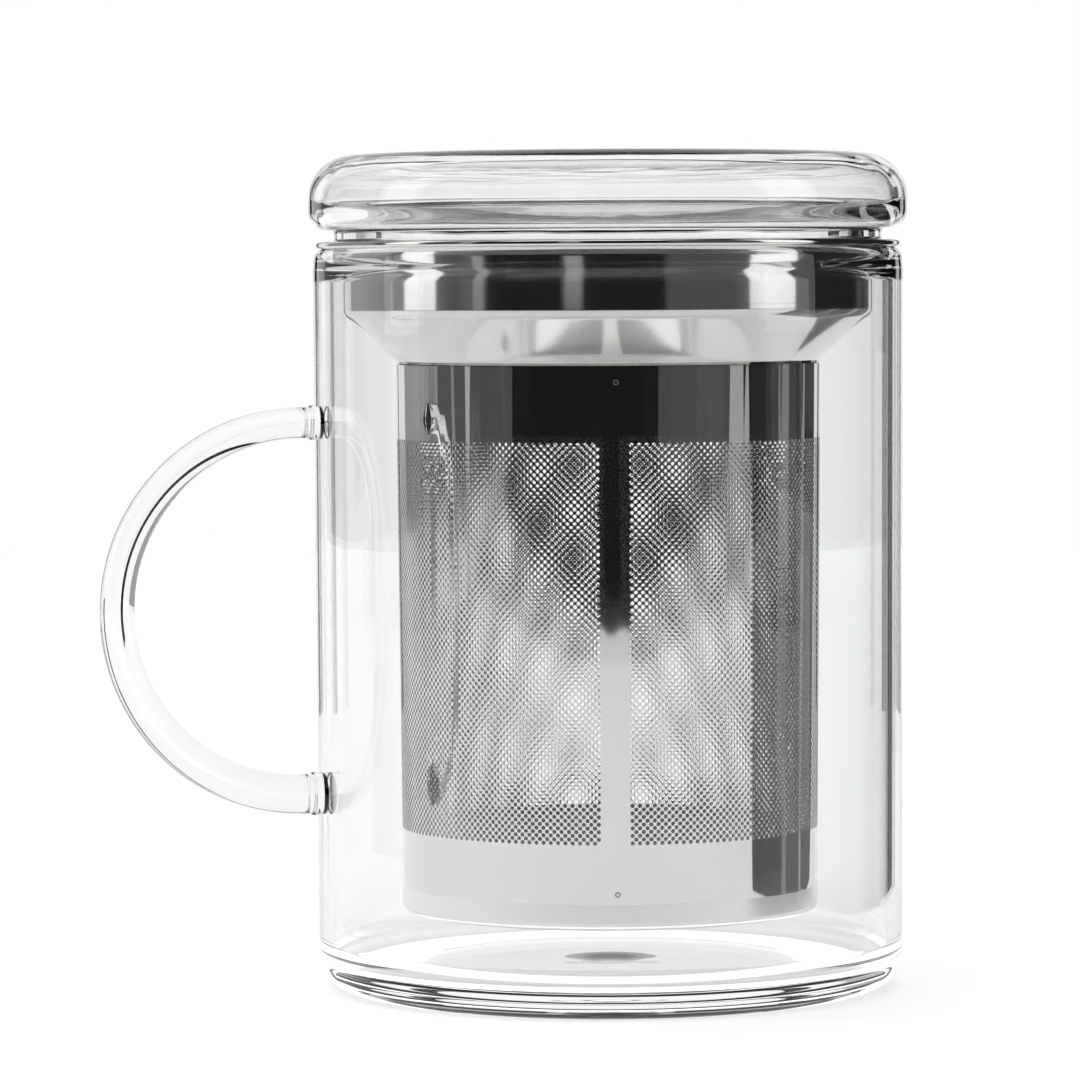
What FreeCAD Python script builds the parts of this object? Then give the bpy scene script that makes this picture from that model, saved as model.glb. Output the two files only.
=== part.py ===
import FreeCAD, Part
import math
import os
import Sketcher

# A tea mug of clear glass with a steel infuser hung in its mouth and a hollow glass lid on top.
# Z is up. The origin is the middle of the flat underside, and the handle points along -X.
# The glass is turned about Z, apart from the handle, and so is the steel.

# Driving sizes in millimetres, angles in degrees.
SIZES = [
    ("mug_height", 106.6, "from the table to the flat land on the rim"),
    ("mug_radius", 42.5, "outside of the wall where the rim bead starts"),
    ("wall_taper", 0.3, "how much narrower the wall is at the table"),
    ("mug_wall", 2.0, "thickness of the wall"),
    ("mug_floor", 3.8, "thickness of the floor"),
    ("foot_round", 4.5, "outer corner between the wall and the underside"),
    ("floor_round", 3.6, "inner corner between the wall and the floor"),
    ("bead_height", 4.2, "height of the thickened rim"),
    ("bead_width", 2.9, "thickness of the thickened rim"),
    ("bead_setback", 0.25, "how far the bead's outside stands in from the wall"),
    ("bead_round", 1.3, "rounding of the bead's edges"),
    ("bead_slope", 0.65, "how far below the bead the inner wall starts to thicken"),
    ("punt_radius", 6.0, "shallow mark in the middle of the floor"),
    ("punt_flat", 2.5, "flat bottom of that mark"),
    ("punt_depth", 0.5, "depth of that mark"),
    ("handle_top", 81.9, "height of the upper end of the handle"),
    ("handle_low", 28.9, "height of the lower end of the handle"),
    ("handle_neck", 1.5, "straight run between a joint and the bow"),
    ("rod_top_radius", 2.2, "radius of the drawn rod at its upper end"),
    ("rod_low_radius", 2.85, "radius of the drawn rod at its lower end"),
    ("joint_proud", 1.5, "how far a joint stands out from the wall"),
    ("joint_flare", 0.9, "how much wider a joint is at the wall than the rod"),
    ("collar_play", 2.4, "between the mug's wall and the infuser's collar"),
    ("collar_drop", 9.5, "from the underside of the flange to the collar's lower corner"),
    ("flange_setback", 0.3, "how far the flange's edge stands in from the mug's outside"),
    ("flange_hem", 1.0, "thickness of the folded flange"),
    ("hem_round", 0.4, "rounding of the folded edge"),
    ("steel", 0.4, "thickness of the collar's sheet"),
    ("shoulder_width", 7.5, "from the outside of the collar in to the outside of the sleeve"),
    ("shoulder_drop", 7.1, "height of the sloping shoulder"),
    ("collar_lip", 3.0, "height of the lip that goes into the sleeve"),
    ("collar_round", 1.5, "rounding of the collar's lower corner"),
    ("throat_round", 0.9, "rounding where the flange turns down into the collar"),
    ("sleeve_taper", 0.6, "how much narrower the sleeve is at its bottom"),
    ("sleeve_sheet", 0.35, "thickness of the etched sheet"),
    ("weld_gap", 0.1, "play between the sleeve and the lips inside it"),
    ("seam_turn", -13.0, "angle of the plain seam strip from -Y, about Z"),
    ("seam_mark_radius", 0.4, "etched register marks on the seam strip"),
    ("upper_mark_edge", 2.2, "from the sleeve's top down to its upper register mark"),
    ("lower_mark_edge", 1.4, "from the sleeve's bottom up to its lower register mark"),
    ("cap_clearance", 7.5, "from the mug's floor to the infuser's underside"),
    ("cap_skirt", 3.7, "height of the bottom cap's skirt"),
    ("cap_floor", 0.5, "thickness of the bottom cap's floor"),
    ("cap_lip", 2.0, "height of the cap's lip inside the sleeve"),
    ("cap_round", 1.0, "rounding of the cap's lower corner"),
    ("drain_radius", 0.5, "radius of a drain hole"),
    ("drain_pitch", 4.0, "distance between rings of drain holes"),
    ("lid_overhang", 0.6, "how far the lid's widest line stands out from the mug"),
    ("lid_waist", 6.0, "from the foot of the lid up to its widest line"),
    ("lid_crown", 6.4, "from the widest line up to the top"),
    ("lid_wall", 1.8, "thickness of the lid's glass"),
    ("lid_step", 0.9, "thickness of the lid's glass over its foot"),
    ("lid_crown_round", 6.2, "rounding of the lid's upper edge"),
    ("lid_under_round", 3.0, "rounding of the lid's lower edge"),
    ("lid_foot_setback", 2.7, "from the flange's edge in to the ring that rests on it"),
    ("lid_foot_height", 1.65, "height of that ring"),
    ("lid_foot_round", 0.4, "rounding of that ring's edges"),
    ("plug_gap", 0.9, "play between the lid's plug and the collar"),
    ("plug_depth", 4.4, "how far the plug reaches into the collar"),
    ("plug_round", 2.4, "rounding of the plug's lower edge"),
    ("plug_inside_round", 1.5, "rounding of the plug's floor on the inside"),
    ("step_round", 0.8, "rounding of the cavity's step down into the plug"),
    ("vent_radius", 1.2, "hole that the lid was blown through"),
    ("vent_fit", 0.05, "play round the seal in that hole"),
    ("seal_radius", 2.6, "drop of glass that closes that hole"),
    ("seal_drop", 1.0, "how far that drop hangs below the plug"),
    ("seal_round", 0.8, "rounding of that drop's edge"),
]
DRAIN_RINGS = 6
HOLES_PER_RING_STEP = 6
SAME_PLACE = 1e-4

# Places that follow from the driving sizes, as formulas in their names.
FOOT_RADIUS = "Sizes.mug_radius - Sizes.wall_taper"
INNER_RADIUS = "Sizes.mug_radius - Sizes.mug_wall"
INNER_FOOT_RADIUS = f"{FOOT_RADIUS} - Sizes.mug_wall"
BEAD_START = "Sizes.mug_height - Sizes.bead_height"
BEAD_OUTER = "Sizes.mug_radius - Sizes.bead_setback"
BEAD_INNER = f"{BEAD_OUTER} - Sizes.bead_width"
JOINT_FACE = "Sizes.mug_radius + Sizes.joint_proud"
BOW_RADIUS = "(Sizes.handle_top - Sizes.handle_low) / 2"
BOW_HEIGHT = "(Sizes.handle_top + Sizes.handle_low) / 2"
BOW_X = f"-({JOINT_FACE} + Sizes.handle_neck)"
FLANGE_RADIUS = "Sizes.mug_radius - Sizes.flange_setback"
FLANGE_TOP = "Sizes.mug_height + Sizes.flange_hem"
COLLAR_RADIUS = f"{INNER_RADIUS} - Sizes.collar_play"
COLLAR_INNER = f"{COLLAR_RADIUS} - Sizes.steel"
COLLAR_CORNER = "Sizes.mug_height - Sizes.collar_drop"
SLEEVE_RADIUS = f"{COLLAR_RADIUS} - Sizes.shoulder_width"
SLEEVE_INNER = f"{SLEEVE_RADIUS} - Sizes.sleeve_sheet"
SLEEVE_LOW_RADIUS = f"{SLEEVE_RADIUS} - Sizes.sleeve_taper"
SLEEVE_LOW_INNER = f"{SLEEVE_LOW_RADIUS} - Sizes.sleeve_sheet"
LIP_RADIUS = f"{SLEEVE_INNER} - Sizes.weld_gap"
LIP_INNER = f"{LIP_RADIUS} - Sizes.steel"
SLEEVE_TOP = f"{COLLAR_CORNER} - Sizes.shoulder_drop"
LIP_SETBACK = "(Sizes.shoulder_width + Sizes.sleeve_sheet + Sizes.weld_gap)"
SLOPE = f"(Sizes.shoulder_drop / {LIP_SETBACK})"
INNER_CORNER = f"{COLLAR_CORNER} + Sizes.steel * tan(45 deg - atan({SLOPE}) / 2)"
INNER_SHOULDER_FOOT = f"{INNER_CORNER} - Sizes.shoulder_drop"
CAP_BOTTOM = "Sizes.mug_floor + Sizes.cap_clearance"
CAP_FLOOR_TOP = f"{CAP_BOTTOM} + Sizes.cap_floor"
SLEEVE_BOTTOM = f"{CAP_BOTTOM} + Sizes.cap_skirt"
CAP_LIP_RADIUS = f"{SLEEVE_LOW_INNER} - Sizes.weld_gap"
LID_WIDEST = f"{FLANGE_TOP} + Sizes.lid_waist"
LID_TOP = f"{LID_WIDEST} + Sizes.lid_crown"
LID_UNDER = f"{FLANGE_TOP} + Sizes.lid_foot_height"
CAVITY_STEP = f"{LID_UNDER} + Sizes.lid_step"
LID_RADIUS = "Sizes.mug_radius + Sizes.lid_overhang"
LID_INNER = f"{LID_RADIUS} - Sizes.lid_wall"
LID_FOOT_RADIUS = f"{FLANGE_RADIUS} - Sizes.lid_foot_setback"
PLUG_RADIUS = f"{COLLAR_INNER} - Sizes.plug_gap"
PLUG_BOTTOM = f"{FLANGE_TOP} - Sizes.plug_depth"
SEAL_NECK = "Sizes.vent_radius - Sizes.vent_fit"

doc = FreeCAD.newDocument("tea_mug")
sheet = doc.addObject("Spreadsheet::Sheet", "Sizes")
for row, (alias, size, meaning) in enumerate(SIZES, start=1):
    sheet.set(f"A{row}", alias)
    sheet.set(f"B{row}", str(size))
    sheet.setAlias(f"B{row}", alias)
    sheet.set(f"C{row}", meaning)
doc.recompute()


def amount(formula):
    """What a formula comes to with the sizes as they are."""
    found = sheet.evalExpression(formula)
    return float(getattr(found, "Value", found))


def new_body(label):
    body = doc.addObject("PartDesign::Body", label)
    body.Label = label
    return body


def new_sketch(body, name, role="XZ_Plane"):
    plane = next(f for f in body.Origin.OriginFeatures if f.Role == role)
    sketch = body.newObject("Sketcher::SketchObject", name)
    sketch.AttachmentSupport = [(plane, "")]
    sketch.MapMode = "FlatFace"
    return sketch


def pin(sketch, edge, end, formulas):
    """Holds one end of an edge at a place given by two formulas."""
    for direction, axis, formula in zip(("DistanceX", "DistanceY"), (-2, -1), formulas):
        size = amount(formula)
        if formula == "0":
            sketch.addConstraint(Sketcher.Constraint("PointOnObject", edge, end, axis))
        elif size < 0:
            held = sketch.addConstraint(Sketcher.Constraint(direction, edge, end, -1, 1, -size))
            sketch.setExpression(f"Constraints[{held}]", f"-({formula})")
        else:
            held = sketch.addConstraint(Sketcher.Constraint(direction, -1, 1, edge, end, size))
            sketch.setExpression(f"Constraints[{held}]", formula)


def outline(sketch, corners):
    """A closed outline of straight lines, each corner a pair of formulas."""
    places = [FreeCAD.Vector(amount(x), amount(y), 0) for x, y in corners]
    last = len(corners) - 1
    for number, place in enumerate(places):
        sketch.addGeometry(Part.LineSegment(place, places[0 if number == last else number + 1]))
    for number in range(len(corners)):
        following = 0 if number == last else number + 1
        sketch.addConstraint(Sketcher.Constraint("Coincident", number, 2, following, 1))
    for number, corner in enumerate(corners):
        pin(sketch, number, 1, corner)


def circle(sketch, centre, radius):
    place = FreeCAD.Vector(amount(centre[0]), amount(centre[1]), 0)
    edge = sketch.addGeometry(Part.Circle(place, FreeCAD.Vector(0, 0, 1), amount(radius)))
    held = sketch.addConstraint(Sketcher.Constraint("Radius", edge, amount(radius)))
    sketch.setExpression(f"Constraints[{held}]", radius)
    pin(sketch, edge, 3, centre)


def turn(body, name, corners, about="V_Axis", kind="PartDesign::Revolution", shift=None):
    """A full turn of an outline about an axis of its sketch."""
    sketch = new_sketch(body, f"{name}_outline")
    if shift:
        sketch.setExpression("AttachmentOffset.Base.y", shift)
    outline(sketch, corners)
    doc.recompute()
    before = body.Shape.Volume if kind == "PartDesign::Groove" else 0
    turned = body.newObject(kind, name)
    turned.Profile = sketch
    turned.ReferenceAxis = (sketch, [about])
    turned.Angle = 360
    doc.recompute()
    if kind == "PartDesign::Groove" and not body.Shape.Volume < before:
        raise RuntimeError(f"{name} cuts nothing")
    return turned


def round_rings(body, name, radius, rings):
    """Rounds the circular edges at the given radii and heights."""
    base = body.Tip
    places = [(amount(r), amount(z)) for r, z in rings]
    edges = []
    for number, edge in enumerate(base.Shape.Edges, start=1):
        curve = edge.Curve
        if not isinstance(curve, Part.Circle):
            continue
        if any(math.isclose(curve.Radius, r, abs_tol=SAME_PLACE)
               and math.isclose(curve.Center.z, z, abs_tol=SAME_PLACE) for r, z in places):
            edges.append(f"Edge{number}")
    if len(edges) != len(places):
        raise RuntimeError(f"{name} found {len(edges)} edges for {len(places)} rings")
    fillet = body.newObject("PartDesign::Fillet", name)
    fillet.Base = (base, edges)
    fillet.setExpression("Radius", radius)
    doc.recompute()


def drill(body, name, role, centre, radius, height, through):
    """Cuts a round hole from a plane of the body at a height along its normal."""
    sketch = new_sketch(body, f"{name}_outline", role)
    sketch.setExpression("AttachmentOffset.Base.z", height)
    circle(sketch, centre, radius)
    doc.recompute()
    before = body.Shape.Volume
    hole = body.newObject("PartDesign::Pocket", name)
    hole.Profile = sketch
    hole.Type = "Length"
    hole.setExpression("Length", through)
    doc.recompute()
    if not body.Shape.Volume < before:
        raise RuntimeError(f"{name} cuts nothing")
    return hole


# Mug: one blown wall with a thick moulded floor, a fire-polished bead at the rim
# and a shallow mark in the middle of the floor.
mug = new_body("mug_body")
turn(mug, "mug_wall_and_floor", [
    ("0", "0"),
    (FOOT_RADIUS, "0"),
    ("Sizes.mug_radius", BEAD_START),
    (BEAD_OUTER, "Sizes.mug_height"),
    (BEAD_INNER, "Sizes.mug_height"),
    (BEAD_INNER, f"{BEAD_START} + Sizes.bead_round"),
    (INNER_RADIUS, f"{BEAD_START} - Sizes.bead_slope"),
    (INNER_FOOT_RADIUS, "Sizes.mug_floor"),
    ("0", "Sizes.mug_floor"),
])
round_rings(mug, "foot_corner", "Sizes.foot_round", [(FOOT_RADIUS, "0")])
round_rings(mug, "floor_corner", "Sizes.floor_round", [(INNER_FOOT_RADIUS, "Sizes.mug_floor")])
round_rings(mug, "rim_bead_edges", "Sizes.bead_round", [
    (BEAD_OUTER, "Sizes.mug_height"),
    (BEAD_INNER, "Sizes.mug_height"),
])
turn(mug, "punt_mark", [
    ("0", "Sizes.mug_floor - Sizes.punt_depth"),
    ("Sizes.punt_flat", "Sizes.mug_floor - Sizes.punt_depth"),
    ("Sizes.punt_radius", "Sizes.mug_floor"),
    ("0", "Sizes.mug_floor"),
], kind="PartDesign::Groove")

# Handle: a rod drawn thicker towards one end and bent to a half circle,
# with a short straight neck at each end.
handle = new_body("handle_rod")
route = new_sketch(handle, "handle_route")
bow_x, bow_z, bow_r = amount(BOW_X), amount(BOW_HEIGHT), amount(BOW_RADIUS)
joint_x = -amount(JOINT_FACE)
route.addGeometry(Part.LineSegment(
    FreeCAD.Vector(joint_x, bow_z + bow_r, 0), FreeCAD.Vector(bow_x, bow_z + bow_r, 0)))
route.addGeometry(Part.ArcOfCircle(
    Part.Circle(FreeCAD.Vector(bow_x, bow_z, 0), FreeCAD.Vector(0, 0, 1), bow_r),
    math.pi / 2, 3 * math.pi / 2))
route.addGeometry(Part.LineSegment(
    FreeCAD.Vector(bow_x, bow_z - bow_r, 0), FreeCAD.Vector(joint_x, bow_z - bow_r, 0)))
pin(route, 0, 1, (f"-({JOINT_FACE})", "Sizes.handle_top"))
pin(route, 0, 2, (BOW_X, "Sizes.handle_top"))
pin(route, 2, 1, (BOW_X, "Sizes.handle_low"))
pin(route, 2, 2, (f"-({JOINT_FACE})", "Sizes.handle_low"))
route.addConstraint(Sketcher.Constraint("Tangent", 0, 2, 1, 1))
route.addConstraint(Sketcher.Constraint("Coincident", 1, 2, 2, 1))
ends = []
for name, height, radius in (("rod_top", "Sizes.handle_top", "Sizes.rod_top_radius"),
                             ("rod_low", "Sizes.handle_low", "Sizes.rod_low_radius")):
    end = new_sketch(handle, name, "YZ_Plane")
    end.setExpression("AttachmentOffset.Base.z", f"-({JOINT_FACE})")
    circle(end, ("0", height), radius)
    ends.append(end)
doc.recompute()
rod = handle.newObject("PartDesign::AdditivePipe", "drawn_rod")
rod.Profile = ends[0]
rod.Spine = (route, ["Edge1", "Edge2", "Edge3"])
rod.Transformation = "Multisection"
rod.Sections = [ends[1]]
doc.recompute()

# Handle joints: a gather of glass melted between the wall and each end of the rod.
for label, height, radius in (("upper_handle_joint", "Sizes.handle_top", "Sizes.rod_top_radius"),
                              ("lower_handle_joint", "Sizes.handle_low", "Sizes.rod_low_radius")):
    joint = new_body(label)
    turn(joint, f"{label}_gather", [
        (f"-({JOINT_FACE})", "0"),
        (f"-({JOINT_FACE})", radius),
        ("-(Sizes.mug_radius + Sizes.bead_setback)", f"{radius} + Sizes.joint_flare"),
        (f"-({INNER_FOOT_RADIUS})", f"{radius} + Sizes.joint_flare"),
        (f"-({INNER_FOOT_RADIUS})", "0"),
    ], about="H_Axis", shift=height)
    turn(joint, f"{label}_wall_cut", [
        ("0", "0"),
        (f"-({FOOT_RADIUS})", "0"),
        ("-Sizes.mug_radius", BEAD_START),
        ("0", BEAD_START),
    ], kind="PartDesign::Groove")

# Infuser collar: one drawn sheet with a folded flange, a straight collar,
# a sloping shoulder and a lip that the sleeve is welded over.
collar = new_body("infuser_collar")
turn(collar, "drawn_collar", [
    (FLANGE_RADIUS, "Sizes.mug_height"),
    (FLANGE_RADIUS, FLANGE_TOP),
    (COLLAR_INNER, FLANGE_TOP),
    (COLLAR_INNER, INNER_CORNER),
    (LIP_INNER, INNER_SHOULDER_FOOT),
    (LIP_INNER, f"{SLEEVE_TOP} - Sizes.collar_lip"),
    (LIP_RADIUS, f"{SLEEVE_TOP} - Sizes.collar_lip"),
    (LIP_RADIUS, SLEEVE_TOP),
    (COLLAR_RADIUS, COLLAR_CORNER),
    (COLLAR_RADIUS, "Sizes.mug_height"),
])
round_rings(collar, "hem_edges", "Sizes.hem_round", [
    (FLANGE_RADIUS, "Sizes.mug_height"),
    (FLANGE_RADIUS, FLANGE_TOP),
])
round_rings(collar, "throat_corner", "Sizes.throat_round", [(COLLAR_INNER, FLANGE_TOP)])
round_rings(collar, "collar_corner", "Sizes.collar_round", [(COLLAR_RADIUS, COLLAR_CORNER)])
round_rings(collar, "collar_inside_corner", "Sizes.collar_round - Sizes.steel",
            [(COLLAR_INNER, INNER_CORNER)])

# Infuser sleeve: an etched sheet rolled to a slightly tapered tube. Its plain seam strip
# carries a small etched register mark near each end.
sleeve = new_body("infuser_sleeve")
turn(sleeve, "rolled_sheet", [
    (SLEEVE_LOW_INNER, SLEEVE_BOTTOM),
    (SLEEVE_LOW_RADIUS, SLEEVE_BOTTOM),
    (SLEEVE_RADIUS, SLEEVE_TOP),
    (SLEEVE_INNER, SLEEVE_TOP),
])
for name, height in (("upper_mark", f"{SLEEVE_TOP} - Sizes.upper_mark_edge"),
                     ("lower_mark", f"{SLEEVE_BOTTOM} + Sizes.lower_mark_edge")):
    drill(sleeve, name, "XZ_Plane", ("0", height), "Sizes.seam_mark_radius",
          f"{SLEEVE_RADIUS} + Sizes.steel", "Sizes.steel + Sizes.sleeve_taper + 2 * Sizes.sleeve_sheet")
sleeve.setExpression("Placement.Rotation.Angle", "Sizes.seam_turn * 1 deg")

# Infuser bottom: a drawn cap with rings of drain holes, lipped into the sleeve.
cap = new_body("infuser_bottom_cap")
turn(cap, "drawn_cap", [
    ("0", CAP_BOTTOM),
    (SLEEVE_LOW_RADIUS, CAP_BOTTOM),
    (SLEEVE_LOW_RADIUS, SLEEVE_BOTTOM),
    (CAP_LIP_RADIUS, SLEEVE_BOTTOM),
    (CAP_LIP_RADIUS, f"{SLEEVE_BOTTOM} + Sizes.cap_lip"),
    (f"{CAP_LIP_RADIUS} - Sizes.steel", f"{SLEEVE_BOTTOM} + Sizes.cap_lip"),
    (f"{CAP_LIP_RADIUS} - Sizes.steel", CAP_FLOOR_TOP),
    ("0", CAP_FLOOR_TOP),
])
round_rings(cap, "cap_corner", "Sizes.cap_round", [(SLEEVE_LOW_RADIUS, CAP_BOTTOM)])
for ring in range(1, DRAIN_RINGS + 1):
    hole = drill(cap, f"drain_{ring}", "XY_Plane", (f"Sizes.drain_pitch * {ring}", "0"),
                 "Sizes.drain_radius", CAP_FLOOR_TOP, "Sizes.cap_floor")
    ring_of_holes = cap.newObject("PartDesign::PolarPattern", f"drain_ring_{ring}")
    ring_of_holes.Originals = [hole]
    ring_of_holes.Axis = (hole.Profile[0], ["N_Axis"])
    ring_of_holes.Angle = 360
    ring_of_holes.Occurrences = HOLES_PER_RING_STEP * ring
    cap.Tip = ring_of_holes
    doc.recompute()

# Lid: a hollow puck of blown glass, made as two shells that are melted together
# at the widest line, with a drop of glass over the hole it was blown through.
upper = new_body("lid_upper_shell")
turn(upper, "crown", [
    ("0", LID_TOP),
    (LID_RADIUS, LID_TOP),
    (LID_RADIUS, LID_WIDEST),
    (LID_INNER, LID_WIDEST),
    (LID_INNER, f"{LID_TOP} - Sizes.lid_wall"),
    ("0", f"{LID_TOP} - Sizes.lid_wall"),
])
round_rings(upper, "crown_edge", "Sizes.lid_crown_round", [(LID_RADIUS, LID_TOP)])
round_rings(upper, "crown_inside_edge", "Sizes.lid_crown_round - Sizes.lid_wall",
            [(LID_INNER, f"{LID_TOP} - Sizes.lid_wall")])

lower = new_body("lid_lower_shell")
turn(lower, "foot_and_plug", [
    ("Sizes.vent_radius", PLUG_BOTTOM),
    (PLUG_RADIUS, PLUG_BOTTOM),
    (PLUG_RADIUS, FLANGE_TOP),
    (LID_FOOT_RADIUS, FLANGE_TOP),
    (LID_FOOT_RADIUS, LID_UNDER),
    (LID_RADIUS, LID_UNDER),
    (LID_RADIUS, LID_WIDEST),
    (LID_INNER, LID_WIDEST),
    (LID_INNER, CAVITY_STEP),
    (f"{PLUG_RADIUS} - Sizes.lid_wall", CAVITY_STEP),
    (f"{PLUG_RADIUS} - Sizes.lid_wall", f"{PLUG_BOTTOM} + Sizes.lid_wall"),
    ("Sizes.vent_radius", f"{PLUG_BOTTOM} + Sizes.lid_wall"),
])
round_rings(lower, "under_edge", "Sizes.lid_under_round", [(LID_RADIUS, LID_UNDER)])
round_rings(lower, "under_inside_edge", "Sizes.lid_under_round - Sizes.lid_wall",
            [(LID_INNER, CAVITY_STEP)])
round_rings(lower, "foot_edges", "Sizes.lid_foot_round", [
    (LID_FOOT_RADIUS, FLANGE_TOP),
    (LID_FOOT_RADIUS, LID_UNDER),
    (PLUG_RADIUS, FLANGE_TOP),
])
round_rings(lower, "plug_edge", "Sizes.plug_round", [(PLUG_RADIUS, PLUG_BOTTOM)])
round_rings(lower, "plug_inside_edge", "Sizes.plug_inside_round",
            [(f"{PLUG_RADIUS} - Sizes.lid_wall", f"{PLUG_BOTTOM} + Sizes.lid_wall")])
round_rings(lower, "cavity_step", "Sizes.step_round",
            [(f"{PLUG_RADIUS} - Sizes.lid_wall", CAVITY_STEP)])

seal = new_body("lid_vent_seal")
turn(seal, "sealing_drop", [
    ("0", f"{PLUG_BOTTOM} - Sizes.seal_drop"),
    ("Sizes.seal_radius", f"{PLUG_BOTTOM} - Sizes.seal_drop"),
    ("Sizes.seal_radius", PLUG_BOTTOM),
    (SEAL_NECK, PLUG_BOTTOM),
    (SEAL_NECK, f"{PLUG_BOTTOM} + Sizes.lid_wall"),
    ("0", f"{PLUG_BOTTOM} + Sizes.lid_wall"),
])
round_rings(seal, "drop_edge", "Sizes.seal_round",
            [("Sizes.seal_radius", f"{PLUG_BOTTOM} - Sizes.seal_drop")])

doc.recompute()
bodies = [o for o in doc.Objects if o.TypeId == "PartDesign::Body"]
for item in doc.Objects:
    if {"Invalid", "Error"} & set(item.State):
        raise RuntimeError(f"{item.Label} failed: {item.State}")
for body in bodies:
    if body.Shape.isNull() or not body.Shape.isValid() or len(body.Shape.Solids) != 1:
        raise RuntimeError(f"{body.Label} is not one sound solid")

os.makedirs("parts", exist_ok=True)
for body in bodies:
    body.Shape.exportStep(f"parts/{body.Label}.step")
    box = body.Shape.BoundBox
    print(f"{body.Label}: {body.Shape.Volume:.0f} mm3, z {box.ZMin:.2f} to {box.ZMax:.2f}")
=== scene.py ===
import bmesh
import bpy
import math
from mathutils import Matrix, Vector


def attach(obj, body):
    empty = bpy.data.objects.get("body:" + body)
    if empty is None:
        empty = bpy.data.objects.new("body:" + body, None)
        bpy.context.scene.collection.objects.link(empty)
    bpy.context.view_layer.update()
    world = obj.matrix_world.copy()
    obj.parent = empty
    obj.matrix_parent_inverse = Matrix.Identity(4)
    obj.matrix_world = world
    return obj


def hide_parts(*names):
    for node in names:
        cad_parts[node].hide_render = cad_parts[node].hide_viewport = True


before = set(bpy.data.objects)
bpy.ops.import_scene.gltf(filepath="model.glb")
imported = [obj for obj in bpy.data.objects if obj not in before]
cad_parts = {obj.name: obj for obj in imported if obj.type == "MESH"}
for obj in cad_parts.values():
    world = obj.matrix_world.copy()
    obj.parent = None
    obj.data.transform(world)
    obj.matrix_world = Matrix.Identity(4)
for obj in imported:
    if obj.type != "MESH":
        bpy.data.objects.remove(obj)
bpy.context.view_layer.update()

# Mug: a straight-sided tumbler of borosilicate glass. The wall is drawn from tube, the floor is
# pressed thick with a shallow mark in its middle, and the rim is fire polished to a bead. The
# 0.3 mm hollow underneath is a guess: the photo doesn't show it, and the solid's underside is flat.
ROUND_STEPS = 256
ROUND_SEGMENTS = 8
MUG_HEIGHT = 0.1066
MUG_RADIUS = 0.0425
MUG_FOOT_RADIUS = 0.0422
MUG_WALL = 0.002
MUG_FLOOR = 0.0038
BEAD_START = 0.1034
BEAD_OUTER = 0.04225
BEAD_INNER = 0.03935
BEAD_ROUND = 0.0013
BEAD_SLOPE = 0.00065
BEAD_STEP_ROUND = 0.0006
BEAD_FOOT_ROUND = 0.001
FOOT_ROUND = 0.0045
FLOOR_ROUND = 0.0036
PUNT_RADIUS = 0.006
PUNT_FLAT = 0.0025
PUNT_DEPTH = 0.0005
PUNT_ROUND = 0.0012
UNDER_RECESS = 0.0003
RECESS_RADIUS = 0.0270
RING_RADIUS = 0.0282
RECESS_ROUND = 0.0004
SHARP_ANGLE = math.radians(32)
SAME_POINT = 1e-6


def turned(outline, inside=False, steps=ROUND_STEPS):
    """A skin turned once about Z from a closed outline of (radius, height, rounding) corners.
    An inside skin faces its own middle, as the wall of a hollow does."""
    bm = bmesh.new()
    corners = [bm.verts.new((radius, 0, height)) for radius, height, _ in outline]
    face = bm.faces.new(corners)
    for corner, (_, _, rounding) in zip(corners, outline):
        if rounding:
            bmesh.ops.bevel(bm, geom=[corner], offset=rounding, offset_type="OFFSET",
                            segments=ROUND_SEGMENTS, profile=0.5, affect="VERTICES",
                            material=-1)
    bmesh.ops.delete(bm, geom=list(bm.faces), context="FACES_ONLY")
    on_axis = [e for e in bm.edges if all(v.co.x < SAME_POINT for v in e.verts)]
    bmesh.ops.delete(bm, geom=on_axis, context="EDGES")
    bmesh.ops.spin(bm, geom=list(bm.verts) + list(bm.edges), axis=(0, 0, 1), cent=(0, 0, 0),
                   angle=math.tau, steps=steps, use_merge=True)
    bmesh.ops.remove_doubles(bm, verts=list(bm.verts), dist=SAME_POINT)
    bmesh.ops.recalc_face_normals(bm, faces=list(bm.faces))
    if inside:
        bmesh.ops.reverse_faces(bm, faces=list(bm.faces))
    return bm


def finished(bm, name, material, body, nodes=(), smooth=True):
    """The finished piece, riding on its body and standing for its CAD nodes."""
    mesh = bpy.data.meshes.new(name)
    bm.to_mesh(mesh)
    bm.free()
    if smooth:
        mesh.shade_smooth()
        mesh.set_sharp_from_angle(angle=SHARP_ANGLE)
    mesh.materials.append(material)
    piece = bpy.data.objects.new(name, mesh)
    bpy.context.scene.collection.objects.link(piece)
    if smooth:
        level = piece.modifiers.new("level_normals", "WEIGHTED_NORMAL")
        level.keep_sharp = True
    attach(piece, body)
    if nodes:
        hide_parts(*nodes)
    return piece


def linear(hex_colour):
    """An sRGB hex colour as linear RGBA."""
    parts = [int(hex_colour[i:i + 2], 16) / 255 for i in (1, 3, 5)]
    return [c / 12.92 if c <= 0.04045 else ((c + 0.055) / 1.055) ** 2.4 for c in parts] + [1]


def node(tree, kind, settings=None, inputs=None, links=None):
    """A shader node with its settings, its input values and its links from other sockets."""
    made = tree.nodes.new(kind)
    for name, value in (settings or {}).items():
        setattr(made, name, value)
    for name, value in (inputs or {}).items():
        made.inputs[name].default_value = value
    for name, source in (links or {}).items():
        tree.links.new(source, made.inputs[name])
    return made


def new_material(name):
    """An empty node material, with its tree and its output node."""
    material = bpy.data.materials.new(name)
    material.use_nodes = True
    material.node_tree.nodes.clear()
    return material, material.node_tree, material.node_tree.nodes.new("ShaderNodeOutputMaterial")


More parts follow.
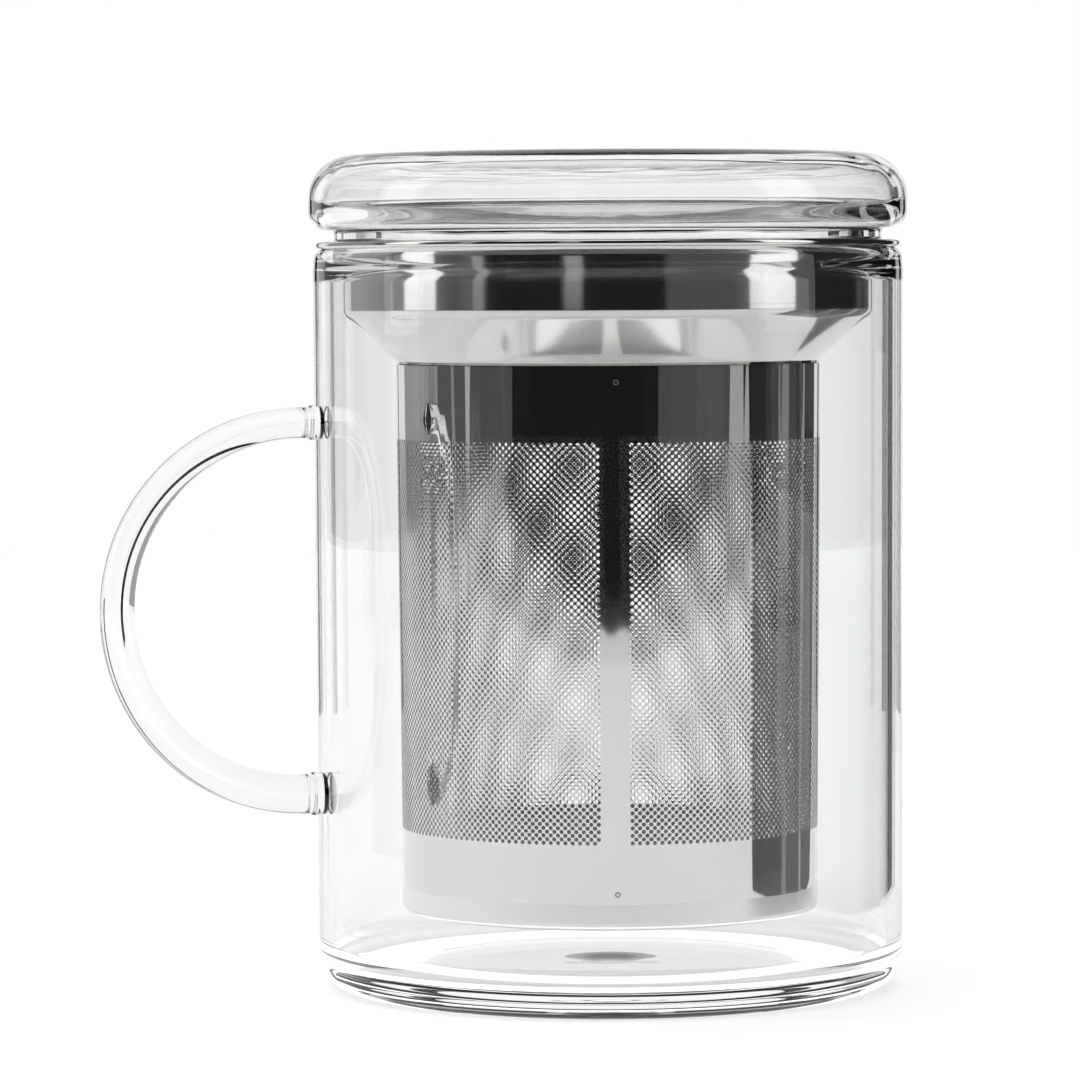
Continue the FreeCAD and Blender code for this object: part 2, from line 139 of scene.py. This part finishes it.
# Borosilicate glass, drawn and fire polished: colourless and perfectly smooth to the touch,
# but the drawn wall keeps faint waves some 25 mm long that bend what is seen through it.
glass, tree, output = new_material("borosilicate_glass_drawn")
place = node(tree, "ShaderNodeTexCoord")
waves = node(tree, "ShaderNodeTexNoise", inputs={"Scale": 40.0, "Detail": 1.0, "Roughness": 0.4},
             links={"Vector": place.outputs["Object"]})
waviness = node(tree, "ShaderNodeBump", inputs={"Strength": 0.25, "Distance": 0.00008},
                links={"Height": waves.outputs["Fac"]})
shader = node(tree, "ShaderNodeBsdfPrincipled",
              inputs={"Base Color": linear("#FDFEFE"), "Roughness": 0.0, "IOR": 1.47,
                      "Transmission Weight": 1.0},
              links={"Normal": waviness.outputs["Normal"]})
tree.links.new(shader.outputs["BSDF"], output.inputs["Surface"])

inner_radius = MUG_RADIUS - MUG_WALL
inner_foot = MUG_FOOT_RADIUS - MUG_WALL
mug_glass = turned([
    (0, UNDER_RECESS, 0),
    (RECESS_RADIUS, UNDER_RECESS, RECESS_ROUND),
    (RING_RADIUS, 0, RECESS_ROUND),
    (MUG_FOOT_RADIUS, 0, FOOT_ROUND),
    (MUG_RADIUS, BEAD_START, 0),
    (BEAD_OUTER, MUG_HEIGHT, BEAD_ROUND),
    (BEAD_INNER, MUG_HEIGHT, BEAD_ROUND),
    (BEAD_INNER, BEAD_START + BEAD_ROUND, BEAD_STEP_ROUND),
    (inner_radius, BEAD_START - BEAD_SLOPE, BEAD_FOOT_ROUND),
    (inner_foot, MUG_FLOOR, FLOOR_ROUND),
    (PUNT_RADIUS, MUG_FLOOR, PUNT_ROUND),
    (PUNT_FLAT, MUG_FLOOR - PUNT_DEPTH, PUNT_ROUND),
    (0, MUG_FLOOR - PUNT_DEPTH, 0),
])
mug = finished(mug_glass, "mug", glass, "mug",
               ["mug_body", "handle_rod", "upper_handle_joint", "lower_handle_joint"])

# Handle: a glass rod that was drawn thicker towards its lower end, bent to a half circle in the
# flame and melted onto the wall. The gather at each end stands as a low ring by the wall.
ROD_TOP_RADIUS = 0.0022
ROD_LOW_RADIUS = 0.00285
HANDLE_TOP = 0.0819
HANDLE_LOW = 0.0289
JOINT_FACE = -0.0444
BOW_START = -0.0455
JOINT_FLARE = 0.0003
ROD_SIDES = 48
BOW_STEPS = 72
INTO_WALL = -0.0413


def rod_ring(bm, ring, growth, centre):
    """The next ring of the rod, extruded on the spot and grown about its own middle."""
    grown = bmesh.ops.extrude_edge_only(bm, edges=ring)["geom"]
    verts = [g for g in grown if isinstance(g, bmesh.types.BMVert)]
    bmesh.ops.scale(bm, vec=(growth, growth, growth), verts=verts,
                    space=Matrix.Translation(-Vector(centre)))
    return verts, [g for g in grown if isinstance(g, bmesh.types.BMEdge)
                   and all(v in verts for v in g.verts)]


bow_height = (HANDLE_TOP + HANDLE_LOW) / 2
rod = bmesh.new()
start = bmesh.ops.create_circle(
    rod, cap_ends=False, segments=ROD_SIDES, radius=ROD_TOP_RADIUS + JOINT_FLARE,
    matrix=Matrix.Translation((INTO_WALL, 0, HANDLE_TOP)) @ Matrix.Rotation(math.pi / 2, 4, "Y"))
edges = list({e for v in start["verts"] for e in v.link_edges})
# Out from the wall, each step as (distance along X, share of the flare).
FLARE_RUN = [(-0.0425, 0.4), (-0.0431, 0.5), (-0.0435, 0.9), (-0.0438, 1.0), (-0.0441, 0.6),
             (JOINT_FACE, 0.0)]
at, radius = INTO_WALL, ROD_TOP_RADIUS + JOINT_FLARE
for reach, flare in FLARE_RUN:
    wanted = ROD_TOP_RADIUS + JOINT_FLARE * flare
    verts, edges = rod_ring(rod, edges, wanted / radius, (at, 0, HANDLE_TOP))
    bmesh.ops.translate(rod, vec=(reach - at, 0, 0), verts=verts)
    at, radius = reach, wanted
verts, edges = rod_ring(rod, edges, 1.0, (at, 0, HANDLE_TOP))
bmesh.ops.translate(rod, vec=(BOW_START - at, 0, 0), verts=verts)
bow_centre = Vector((BOW_START, 0, bow_height))
thickening = (ROD_LOW_RADIUS / ROD_TOP_RADIUS) ** (1 / BOW_STEPS)
centre = Vector((BOW_START, 0, HANDLE_TOP))
bend = Matrix.Rotation(-math.pi / BOW_STEPS, 3, "Y")
for step in range(BOW_STEPS):
    verts, edges = rod_ring(rod, edges, thickening, centre)
    bmesh.ops.rotate(rod, cent=bow_centre, matrix=bend, verts=verts)
    centre = bow_centre + bend @ (centre - bow_centre)
at, radius = BOW_START, ROD_LOW_RADIUS
for reach, flare in reversed(FLARE_RUN):
    wanted = ROD_LOW_RADIUS + JOINT_FLARE * flare
    verts, edges = rod_ring(rod, edges, wanted / radius, (at, 0, HANDLE_LOW))
    bmesh.ops.translate(rod, vec=(reach - at, 0, 0), verts=verts)
    at, radius = reach, wanted
verts, edges = rod_ring(rod, edges, 1.0, (at, 0, HANDLE_LOW))
bmesh.ops.translate(rod, vec=(INTO_WALL - at, 0, 0), verts=verts)
bmesh.ops.holes_fill(rod, edges=[e for e in rod.edges if e.is_boundary], sides=0)
bmesh.ops.recalc_face_normals(rod, faces=list(rod.faces))
handle = finished(rod, "handle", glass, "mug")

# The melted joint leaves no skin between the rod and the wall, so the two are made one skin.
melt = mug.modifiers.new("melted_handle", "BOOLEAN")
melt.operation = "UNION"
melt.solver = "EXACT"
melt.object = handle
melted = bpy.data.meshes.new_from_object(mug.evaluated_get(bpy.context.evaluated_depsgraph_get()))
mug.modifiers.remove(melt)
mug.data = melted
melted.set_sharp_from_angle(angle=SHARP_ANGLE)
bpy.data.objects.remove(handle)

# Infuser collar: stainless steel sheet drawn to a cup with a flange folded over the mug's rim,
# a straight collar, a sloping shoulder and a lip for the sleeve. It is polished to a mirror.
FLANGE_RADIUS = 0.0422
FLANGE_TOP = 0.1076
HEM_ROUND = 0.0004
COLLAR_RADIUS = 0.0381
SHEET = 0.0004
COLLAR_CORNER = 0.0971
COLLAR_ROUND = 0.0008
INSIDE_ROUND = 0.0006
THROAT_ROUND = 0.0009
SLEEVE_TOP = 0.090
LIP_RADIUS = 0.03015
LIP_LOW = 0.087
collar_inner = COLLAR_RADIUS - SHEET
slope = (COLLAR_CORNER - SLEEVE_TOP) / (COLLAR_RADIUS - LIP_RADIUS)
inner_corner = COLLAR_CORNER + SHEET * math.tan(math.pi / 4 - math.atan(slope) / 2)
shoulder_foot = inner_corner - (COLLAR_CORNER - SLEEVE_TOP)

# Stainless steel, drawn and polished: it shows the room a little softened, with a faint drag
# of polishing lines round the axis, 0.1 mm apart, drawn at 0.5 mm so that they show.
polished, tree, output = new_material("stainless_steel_mirror_polished")
place = node(tree, "ShaderNodeTexCoord")
stretch = node(tree, "ShaderNodeMapping", inputs={"Scale": (20, 20, 2000)},
               links={"Vector": place.outputs["Object"]})
lines = node(tree, "ShaderNodeTexNoise", inputs={"Scale": 1.0, "Detail": 2.0},
             links={"Vector": stretch.outputs["Vector"]})
drag = node(tree, "ShaderNodeBump", inputs={"Strength": 0.1, "Distance": 0.00002},
            links={"Height": lines.outputs["Fac"]})
shader = node(tree, "ShaderNodeBsdfPrincipled",
              inputs={"Base Color": linear("#D8D7D5"), "Metallic": 1.0, "Roughness": 0.09},
              links={"Normal": drag.outputs["Normal"]})
tree.links.new(shader.outputs["BSDF"], output.inputs["Surface"])

collar_sheet = turned([
    (FLANGE_RADIUS, MUG_HEIGHT, HEM_ROUND),
    (FLANGE_RADIUS, FLANGE_TOP, HEM_ROUND),
    (collar_inner, FLANGE_TOP, THROAT_ROUND),
    (collar_inner, inner_corner, INSIDE_ROUND),
    (LIP_RADIUS - SHEET, shoulder_foot, 0),
    (LIP_RADIUS - SHEET, LIP_LOW, 0),
    (LIP_RADIUS, LIP_LOW, 0),
    (LIP_RADIUS, SLEEVE_TOP, 0),
    (COLLAR_RADIUS, COLLAR_CORNER, COLLAR_ROUND),
    (COLLAR_RADIUS, MUG_HEIGHT, 0),
])
finished(collar_sheet, "infuser_collar_sheet", polished, "infuser", ["infuser_collar"])

# Infuser sleeve: a thin stainless sheet etched with about 19,000 round holes on a 45 degree grid,
# rolled to a slightly tapered tube and welded along a plain strip that has a register mark
# near each end. It is made in seven panels, so that none has too many faces.
SLEEVE_LOW = 0.015
SLEEVE_TOP_RADIUS = 0.0306
SLEEVE_LOW_RADIUS = 0.030
SLEEVE_SHEET = 0.00035
HOLES_TOP = 0.0791
HOLES_LOW = 0.0236
HOLE_RADIUS = 0.00032
HOLE_SIDES = 8
MARK_RADIUS = 0.0003
MARK_LINE = 0.0001
ROWS = 54
COLUMNS = 182
PLAIN_COLUMNS = 4
PANELS = 6
SEAM_ANGLE = math.radians(-13)
UPPER_MARK = 0.0878
LOWER_MARK = 0.0164
row_pitch = (HOLES_TOP - HOLES_LOW) / (ROWS - 1)
column_angle = math.tau / COLUMNS

# Stainless steel sheet, rolled bright: a mirror that the rolling left slightly rippled along its
# length, so that upright reflections break into streaks some 6 mm apart. The two register marks
# are 0.8 mm rings in the plain strip, made rougher and painted a darker grey: painted shade of the
# small hollow at each mark.
rolled_bright, tree, output = new_material("stainless_steel_rolled_bright")
place = node(tree, "ShaderNodeTexCoord")
along = node(tree, "ShaderNodeMapping", inputs={"Scale": (170, 170, 6)},
             links={"Vector": place.outputs["Object"]})
streaks = node(tree, "ShaderNodeTexNoise", inputs={"Scale": 1.0, "Detail": 2.0, "Roughness": 0.5},
               links={"Vector": along.outputs["Vector"]})
rippled = node(tree, "ShaderNodeBump", inputs={"Strength": 1.0, "Distance": 0.0003},
               links={"Height": streaks.outputs["Fac"]})
rings = []
for height, radius in ((UPPER_MARK, SLEEVE_TOP_RADIUS), (LOWER_MARK, SLEEVE_LOW_RADIUS)):
    middle = (radius * math.sin(SEAM_ANGLE), -radius * math.cos(SEAM_ANGLE), height)
    reach = node(tree, "ShaderNodeVectorMath", {"operation": "DISTANCE"}, inputs={1: middle},
                 links={0: place.outputs["Object"]})
    rings.append(node(tree, "ShaderNodeMath", {"operation": "COMPARE"},
                      inputs={1: MARK_RADIUS, 2: MARK_LINE},
                      links={0: reach.outputs["Value"]}))
# The ring mask picks out the two register marks: it makes them rougher and mixes in painted shade.
mark_ring_mask = node(tree, "ShaderNodeMath", {"operation": "MAXIMUM"},
              links={0: rings[0].outputs[0], 1: rings[1].outputs[0]})
# The darker grey on the rings is painted shade of each mark's hollow, not the steel's own colour.
painted_mark_shade = node(tree, "ShaderNodeMix", {"data_type": "RGBA"},
             inputs={6: linear("#DCDBD9"), 7: linear("#A8A8A8")}, links={0: mark_ring_mask.outputs[0]})
dulled = node(tree, "ShaderNodeMath", {"operation": "MULTIPLY_ADD"}, inputs={1: 0.7, 2: 0.03},
              links={0: mark_ring_mask.outputs[0]})
shader = node(tree, "ShaderNodeBsdfPrincipled", inputs={"Metallic": 1.0},
              links={"Base Color": painted_mark_shade.outputs[2], "Roughness": dulled.outputs[0],
                     "Normal": rippled.outputs["Normal"]})
tree.links.new(shader.outputs["BSDF"], output.inputs["Surface"])


def flat_cell(bm, x, z, hole):
    """One cell of the etched sheet, laid flat in XZ: a diamond round a hole, or a plain one."""
    place = Matrix.Translation((x, 0, z)) @ Matrix.Rotation(math.pi / 2, 4, "X")
    rim = bmesh.ops.create_circle(bm, cap_ends=not hole, segments=4, radius=row_pitch / 2,
                                  matrix=place)
    if hole:
        edge = bmesh.ops.create_circle(bm, cap_ends=False, segments=HOLE_SIDES, radius=hole,
                                       matrix=place)
        loops = {e for v in rim["verts"] + edge["verts"] for e in v.link_edges}
        bmesh.ops.bridge_loops(bm, edges=list(loops))


def column_of_cells(bm, hole):
    """A full column and the staggered one on its right, closed up to the sleeve's two ends."""
    staggered = (row_pitch / 2, HOLES_TOP - row_pitch / 2, ROWS - 1)
    for x, top, count in ((0, HOLES_TOP, ROWS), staggered):
        before = set(bm.faces)
        flat_cell(bm, x, top, hole)
        cell = [f for f in bm.faces if f not in before]
        cell += (list({e for f in cell for e in f.edges})
                 + list({v for f in cell for v in f.verts}))
        bmesh.ops.spin(bm, geom=cell, cent=(0, 0, 0), axis=(1, 0, 0), dvec=(0, 0, -row_pitch),
                       angle=0, steps=count - 1, use_duplicate=True)
    bmesh.ops.remove_doubles(bm, verts=list(bm.verts), dist=SAME_POINT * 10)
    for row, end, side in ((HOLES_TOP, SLEEVE_TOP, 1), (HOLES_LOW, SLEEVE_LOW, -1)):
        border = [e for e in bm.edges if e.is_boundary and e.calc_length() > HOLE_RADIUS
                  and all((v.co.z - row) * side > -SAME_POINT for v in e.verts)]
        band = bmesh.ops.extrude_edge_only(bm, edges=border)["geom"]
        for vert in (g for g in band if isinstance(g, bmesh.types.BMVert)):
            vert.co.z = end


def rolled(bm, angle):
    """Rolls a flat column onto the tapered tube at an angle from -Y."""
    taper = (SLEEVE_TOP_RADIUS - SLEEVE_LOW_RADIUS) / (SLEEVE_TOP - SLEEVE_LOW)
    for vert in bm.verts:
        radius = SLEEVE_LOW_RADIUS + taper * (vert.co.z - SLEEVE_LOW)
        turn = angle + vert.co.x / row_pitch * column_angle
        vert.co.x = radius * math.sin(turn)
        vert.co.y = -radius * math.cos(turn)


def panel(first, count, hole, name):
    """A panel of the sleeve: one column repeated round the axis, then given its thickness."""
    bm = bmesh.new()
    column_of_cells(bm, hole)
    rolled(bm, SEAM_ANGLE + (first - PLAIN_COLUMNS / 2) * column_angle)
    bmesh.ops.spin(bm, geom=list(bm.verts) + list(bm.edges) + list(bm.faces), cent=(0, 0, 0),
                   axis=(0, 0, 1), angle=column_angle * (count - 1), steps=count - 1,
                   use_duplicate=True)
    bmesh.ops.remove_doubles(bm, verts=list(bm.verts), dist=SAME_POINT * 10)
    bm.normal_update()
    inward = [f for f in bm.faces if f.normal.dot(f.calc_center_median() * Vector((1, 1, 0))) < 0]
    bmesh.ops.reverse_faces(bm, faces=inward)
    bmesh.ops.solidify(bm, geom=list(bm.faces), thickness=SLEEVE_SHEET)
    piece = finished(bm, name, rolled_bright, "infuser")
    piece.modifiers.clear()
    return piece


seam = panel(0, PLAIN_COLUMNS, None, "sleeve_seam_strip")
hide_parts("infuser_sleeve")
holed_columns = COLUMNS - PLAIN_COLUMNS
for number in range(PANELS):
    first = PLAIN_COLUMNS + holed_columns * number // PANELS
    after = PLAIN_COLUMNS + holed_columns * (number + 1) // PANELS
    panel(first, after - first, HOLE_RADIUS, f"sleeve_panel_{number + 1}")

# Infuser bottom: a shallow cap pressed from stainless sheet, with rings of drain holes in its
# floor and a lip inside the sleeve. Its skirt is left satin by the press.

# Stainless steel, pressed and satin finished: grey and matt, with the light smeared wide.
satin, tree, output = new_material("stainless_steel_satin")
place = node(tree, "ShaderNodeTexCoord")
grain = node(tree, "ShaderNodeTexNoise", inputs={"Scale": 900.0, "Detail": 3.0},
             links={"Vector": place.outputs["Object"]})
tooth = node(tree, "ShaderNodeBump", inputs={"Strength": 0.3, "Distance": 0.00003},
             links={"Height": grain.outputs["Fac"]})
shader = node(tree, "ShaderNodeBsdfPrincipled",
              inputs={"Base Color": linear("#EDECEA"), "Metallic": 1.0, "Roughness": 0.26},
              links={"Normal": tooth.outputs["Normal"]})
tree.links.new(shader.outputs["BSDF"], output.inputs["Surface"])
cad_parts["infuser_bottom_cap"].data.materials.clear()
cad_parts["infuser_bottom_cap"].data.materials.append(satin)

# Lid: a hollow puck of borosilicate glass, blown as two shells and melted together at the widest
# line. Its foot rests on the flange, its plug reaches into the collar, and a drop of glass closes
# the hole that it was blown through.
LID_TOP = 0.120
LID_RADIUS = 0.0431
LID_WALL = 0.0018
LID_UNDER = 0.10925
LID_FOOT_RADIUS = 0.0395
PLUG_RADIUS = 0.0368
PLUG_LOW = 0.1032
SEAL_RADIUS = 0.0026
SEAL_LOW = 0.1022
CAVITY_LOW = 0.11015
LID_TOP_ROUND = 0.0062
LID_UNDER_ROUND = 0.0026
LID_STEP_ROUND = 0.0004
PLUG_ROUND = 0.0024
SEAL_ROUND = 0.0008
CAVITY_TOP_ROUND = 0.0044
CAVITY_LOW_ROUND = 0.0032
CAVITY_STEP_ROUND = 0.0008
PLUG_INSIDE_ROUND = 0.0015

# Borosilicate glass, blown: the top wall is wavy, with ripples some 8 mm long.
blown_glass, tree, output = new_material("borosilicate_glass_blown")
place = node(tree, "ShaderNodeTexCoord")
ripple = node(tree, "ShaderNodeTexNoise", inputs={"Scale": 120.0, "Detail": 1.0},
              links={"Vector": place.outputs["Object"]})
rippled = node(tree, "ShaderNodeBump", inputs={"Strength": 0.4, "Distance": 0.0002},
               links={"Height": ripple.outputs["Fac"]})
shader = node(tree, "ShaderNodeBsdfPrincipled",
              inputs={"Base Color": linear("#FDFEFE"), "Roughness": 0.0, "IOR": 1.47,
                      "Transmission Weight": 1.0},
              links={"Normal": rippled.outputs["Normal"]})
tree.links.new(shader.outputs["BSDF"], output.inputs["Surface"])

lid_skin = turned([
    (0, LID_TOP, 0),
    (LID_RADIUS, LID_TOP, LID_TOP_ROUND),
    (LID_RADIUS, LID_UNDER, LID_UNDER_ROUND),
    (LID_FOOT_RADIUS, LID_UNDER, LID_STEP_ROUND),
    (LID_FOOT_RADIUS, FLANGE_TOP, LID_STEP_ROUND),
    (PLUG_RADIUS, FLANGE_TOP, LID_STEP_ROUND),
    (PLUG_RADIUS, PLUG_LOW, PLUG_ROUND),
    (SEAL_RADIUS, PLUG_LOW, 0),
    (SEAL_RADIUS, SEAL_LOW, SEAL_ROUND),
    (0, SEAL_LOW, 0),
])
lid_hollow = turned([
    (0, LID_TOP - LID_WALL, 0),
    (LID_RADIUS - LID_WALL, LID_TOP - LID_WALL, CAVITY_TOP_ROUND),
    (LID_RADIUS - LID_WALL, CAVITY_LOW, CAVITY_LOW_ROUND),
    (PLUG_RADIUS - LID_WALL, CAVITY_LOW, CAVITY_STEP_ROUND),
    (PLUG_RADIUS - LID_WALL, PLUG_LOW + LID_WALL, PLUG_INSIDE_ROUND),
    (0, PLUG_LOW + LID_WALL, 0),
], inside=True)
hollow = bpy.data.meshes.new("lid_hollow")
lid_hollow.to_mesh(hollow)
lid_hollow.free()
lid_skin.from_mesh(hollow)
bpy.data.meshes.remove(hollow)
finished(lid_skin, "lid", blown_glass, "lid",
         ["lid_upper_shell", "lid_lower_shell", "lid_vent_seal"])

# Studio: a white table that ends 0.67 m in front of the mug, a white wall behind it, a large soft
# light overhead to the left, a pale ceiling in front, tall strip lights that the steel shows as
# bars, and black flags that the glass shows as dark lines.
CAMERA_TURN = math.radians(-15)
TABLE_WIDTH = 3.0
TABLE_DEPTH = 1.873
TABLE_MIDDLE = 0.2635
TABLE_GLOW = 0.62
TABLE_GLOW_BOUNCED = 0.47
SOFTBOX_SIZE = 1.6
SOFTBOX_POWER = 6
SOFTBOX_PLACE = (-0.25, 0.05, 1.2)


def card(name, azimuth, distance, width, low, high, strength):
    """A tall glowing card that faces the mug, at an angle from the camera's side."""
    bm = bmesh.new()
    bmesh.ops.create_grid(bm, x_segments=1, y_segments=1, size=0.5,
                          matrix=Matrix.Rotation(math.pi / 2, 4, "X"))
    bmesh.ops.scale(bm, vec=(width, 1, high - low), verts=list(bm.verts))
    bmesh.ops.translate(bm, vec=(0, -distance, (low + high) / 2), verts=list(bm.verts))
    bmesh.ops.rotate(bm, cent=(0, 0, 0), verts=list(bm.verts),
                     matrix=Matrix.Rotation(CAMERA_TURN + math.radians(azimuth), 3, "Z"))
    mesh = bpy.data.meshes.new(name)
    bm.to_mesh(mesh)
    bm.free()
    glow, tree, output = new_material(name)
    light = node(tree, "ShaderNodeEmission", inputs={"Strength": strength})
    tree.links.new(light.outputs["Emission"], output.inputs["Surface"])
    mesh.materials.append(glow)
    made = bpy.data.objects.new(name, mesh)
    bpy.context.scene.collection.objects.link(made)
    made.visible_camera = False
    made.visible_shadow = False
    made.visible_diffuse = strength > 0


# Each card: name, azimuth in degrees, distance, width, low edge, high edge, strength.
CARDS = (
    ("white_wall", 180, 1.2, 2.0, -0.01, 1.6, 0.98),
    ("front_ceiling", 0, 1.3, 2.6, 0.95, 2.2, 0.9),
    ("left_black_flag", -156.4, 0.49, 0.045, 0.0, 0.6, 0.01),
    ("right_black_flag", 156.4, 0.49, 0.045, 0.0, 0.6, 0.01),
    ("left_far_wall", -122, 1.25, 0.9, 0.0, 1.5, 0.35),
    ("left_room", -85, 1.3, 1.7, 0.0, 1.5, 0.10),
    ("left_strip", -85, 0.8, 0.25, 0.085, 1.0, 1.5),
    ("left_bar_far", -107, 0.79, 0.05, 0.0, 0.085, 0.25),
    ("left_bar_middle", -90, 0.79, 0.05, 0.0, 0.085, 0.3),
    ("left_bar_near", -78, 0.79, 0.05, 0.0, 0.085, 0.55),
    ("left_narrow_strip", -55, 0.8, 0.07, 0.085, 1.0, 0.4),
    ("front_strip", -14, 0.9, 0.12, 0.09, 0.6, 0.35),
    ("right_room", 45, 1.3, 1.0, 0.0, 1.5, 0.09),
    ("right_strip", 73, 0.8, 0.34, 0.085, 1.0, 1.4),
    ("right_strip_foot", 71, 0.79, 0.2, 0.0, 0.085, 0.5),
    ("right_side_flag", 106, 0.13, 0.15, 0.0, 0.4, 0.02),
    ("right_side_bar", 98, 0.129, 0.012, 0.0, 0.09, 0.2),
    ("right_side_bar_far", 117, 0.129, 0.012, 0.0, 0.09, 0.35),
)
for values in CARDS:
    card(*values)

bm = bmesh.new()
bmesh.ops.create_grid(bm, x_segments=1, y_segments=1, size=0.5)
bmesh.ops.scale(bm, vec=(TABLE_WIDTH, TABLE_DEPTH, 1), verts=list(bm.verts))
bmesh.ops.translate(bm, vec=(0, TABLE_MIDDLE, 0), verts=list(bm.verts))
bmesh.ops.rotate(bm, cent=(0, 0, 0), verts=list(bm.verts),
                 matrix=Matrix.Rotation(CAMERA_TURN, 3, "Z"))
mesh = bpy.data.meshes.new("table")
bm.to_mesh(mesh)
bm.free()
white, tree, output = new_material("white_table")
path = node(tree, "ShaderNodeLightPath")
indirect = node(tree, "ShaderNodeMath", {"operation": "MAXIMUM"},
                links={0: path.outputs["Is Glossy Ray"], 1: path.outputs["Is Transmission Ray"]})
bounced = node(tree, "ShaderNodeMath", {"operation": "MULTIPLY"},
               inputs={1: TABLE_GLOW_BOUNCED}, links={0: indirect.outputs[0]})
glow = node(tree, "ShaderNodeMath", {"operation": "MULTIPLY_ADD"}, inputs={1: TABLE_GLOW},
            links={0: path.outputs["Is Camera Ray"], 2: bounced.outputs[0]})
shader = node(tree, "ShaderNodeBsdfPrincipled",
              inputs={"Base Color": linear("#F0F0F0"), "Roughness": 0.9,
                      "Emission Color": (1, 1, 1, 1)},
              links={"Emission Strength": glow.outputs[0]})
tree.links.new(shader.outputs["BSDF"], output.inputs["Surface"])
mesh.materials.append(white)
table = bpy.data.objects.new("table", mesh)
bpy.context.scene.collection.objects.link(table)

world = bpy.data.worlds.new("studio")
bpy.context.scene.world = world
world.use_nodes = True
tree = world.node_tree
tree.nodes.clear()
output = tree.nodes.new("ShaderNodeOutputWorld")
path = node(tree, "ShaderNodeLightPath")
shade = node(tree, "ShaderNodeMix", {"data_type": "RGBA"},
             inputs={6: (0.012, 0.012, 0.012, 1), 7: (1, 1, 1, 1)},
             links={0: path.outputs["Is Camera Ray"]})
sky = node(tree, "ShaderNodeBackground", inputs={"Strength": 1.0},
           links={"Color": shade.outputs[2]})
tree.links.new(sky.outputs["Background"], output.inputs["Surface"])

lamp = bpy.data.lights.new("overhead_softbox", "AREA")
lamp.shape = "RECTANGLE"
lamp.size = SOFTBOX_SIZE
lamp.size_y = SOFTBOX_SIZE
lamp.energy = SOFTBOX_POWER
softbox = bpy.data.objects.new("overhead_softbox", lamp)
bpy.context.scene.collection.objects.link(softbox)
softbox.location = SOFTBOX_PLACE
softbox.rotation_euler = (-softbox.location).to_track_quat("-Z", "Y").to_euler()

# Camera: a long lens at the height of the rim, looking slightly down, with the handle turned
# 15 degrees towards it.
CAMERA_DISTANCE = 0.770
CAMERA_HEIGHT = 0.102
CAMERA_PITCH = math.radians(-2.79)
CAMERA_PAN = math.radians(0.74)
CAMERA_ROLL = math.radians(-0.28)
SENSOR_WIDTH = 36
FOCAL_LENGTH = 177.7
lens = bpy.data.cameras.new("camera")
lens.sensor_width = SENSOR_WIDTH
lens.lens = FOCAL_LENGTH
camera = bpy.data.objects.new("camera", lens)
bpy.context.scene.collection.objects.link(camera)
camera.matrix_world = (
    Matrix.Translation((CAMERA_DISTANCE * math.sin(CAMERA_TURN),
                        -CAMERA_DISTANCE * math.cos(CAMERA_TURN), CAMERA_HEIGHT))
    @ Matrix.Rotation(CAMERA_TURN + CAMERA_PAN, 4, "Z")
    @ Matrix.Rotation(math.pi / 2 + CAMERA_PITCH, 4, "X")
    @ Matrix.Rotation(CAMERA_ROLL, 4, "Z"))
bpy.context.scene.camera = camera
bpy.context.scene.view_settings.view_transform = "Standard"
